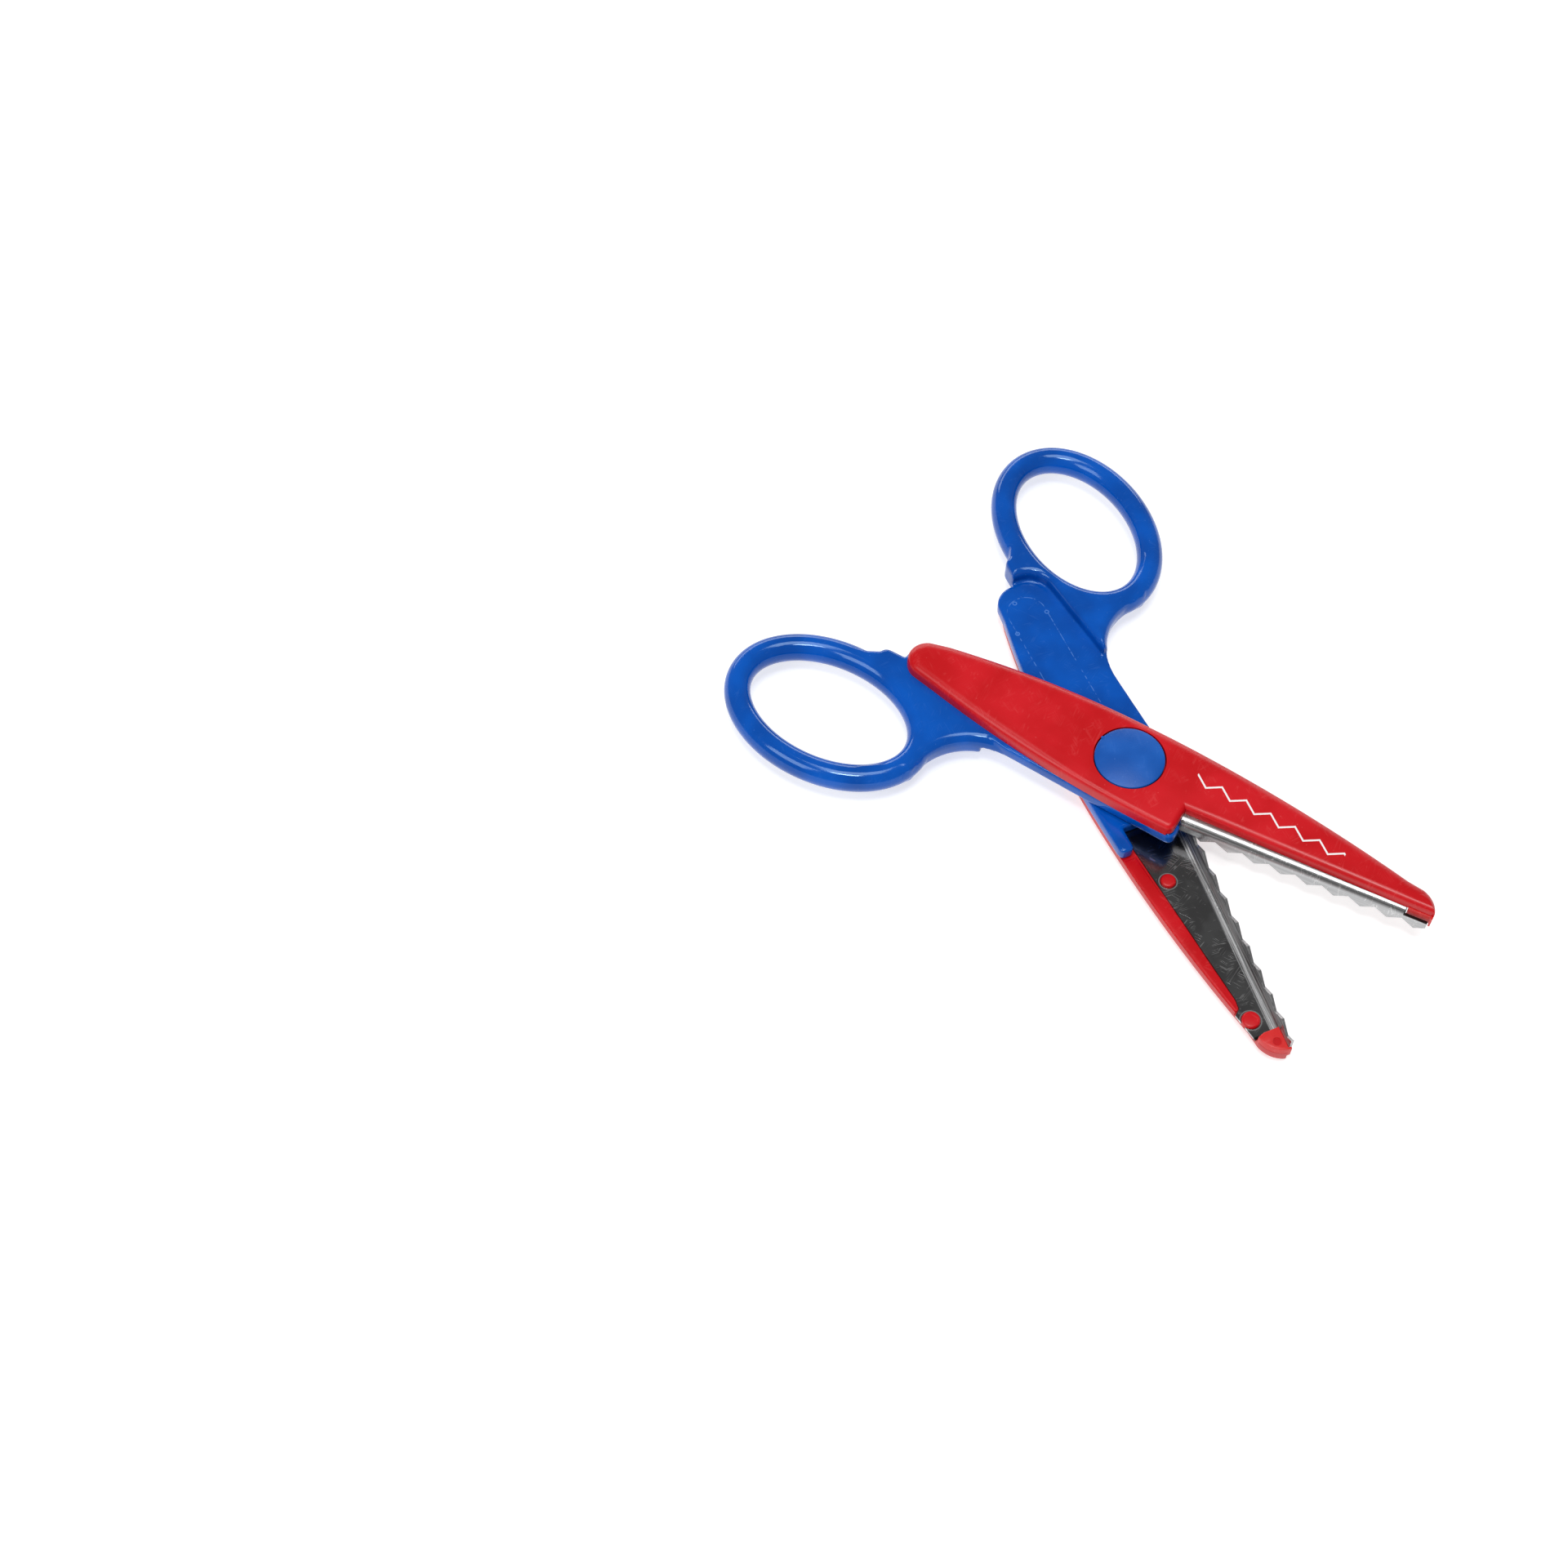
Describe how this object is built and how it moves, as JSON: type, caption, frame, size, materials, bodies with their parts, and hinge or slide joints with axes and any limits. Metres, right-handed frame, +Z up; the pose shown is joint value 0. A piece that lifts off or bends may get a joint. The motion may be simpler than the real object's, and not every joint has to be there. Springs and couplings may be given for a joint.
{
  "type": "pinking shears",
  "caption": "Small craft pinking shears: plastic finger-ring handles and blade covers around zigzag sheet-steel blades on a snap-button pivot.",
  "frame": {"origin": "on the pivot axis, at the crown of the lower button, which is the surface the shears lie on", "axes": "+X bisects the open blades and points to the tips, +Y is to the left of the tips seen from above, +Z is up along the pivot axis"},
  "size_m": [0.1245, 0.0962, 0.0126],
  "materials": {
    "handle_plastic": "glossy blue moulded plastic",
    "cover_plastic": "satin red moulded plastic with fine scuffs",
    "button_plastic": "satin blue moulded plastic with a fine grain",
    "blade_steel": "brushed stamped sheet steel with bright cut edges"
  },
  "bodies": {
    "lower_lever": {"lower_handle": "handle_plastic", "lower_blade": "blade_steel", "lower_cover": "cover_plastic", "lower_button": "button_plastic", "upper_button": "button_plastic"},
    "upper_lever": {"upper_handle": "handle_plastic", "upper_blade": "blade_steel", "upper_cover": "cover_plastic"}
  },
  "joints": [
    {"name": "pivot", "type": "hinge", "parent": "lower_lever", "child": "upper_lever", "pos_m": [0, 0, 0.0063], "axis": [0, 0, 1], "range_deg": [-35, 54]}
  ]
}
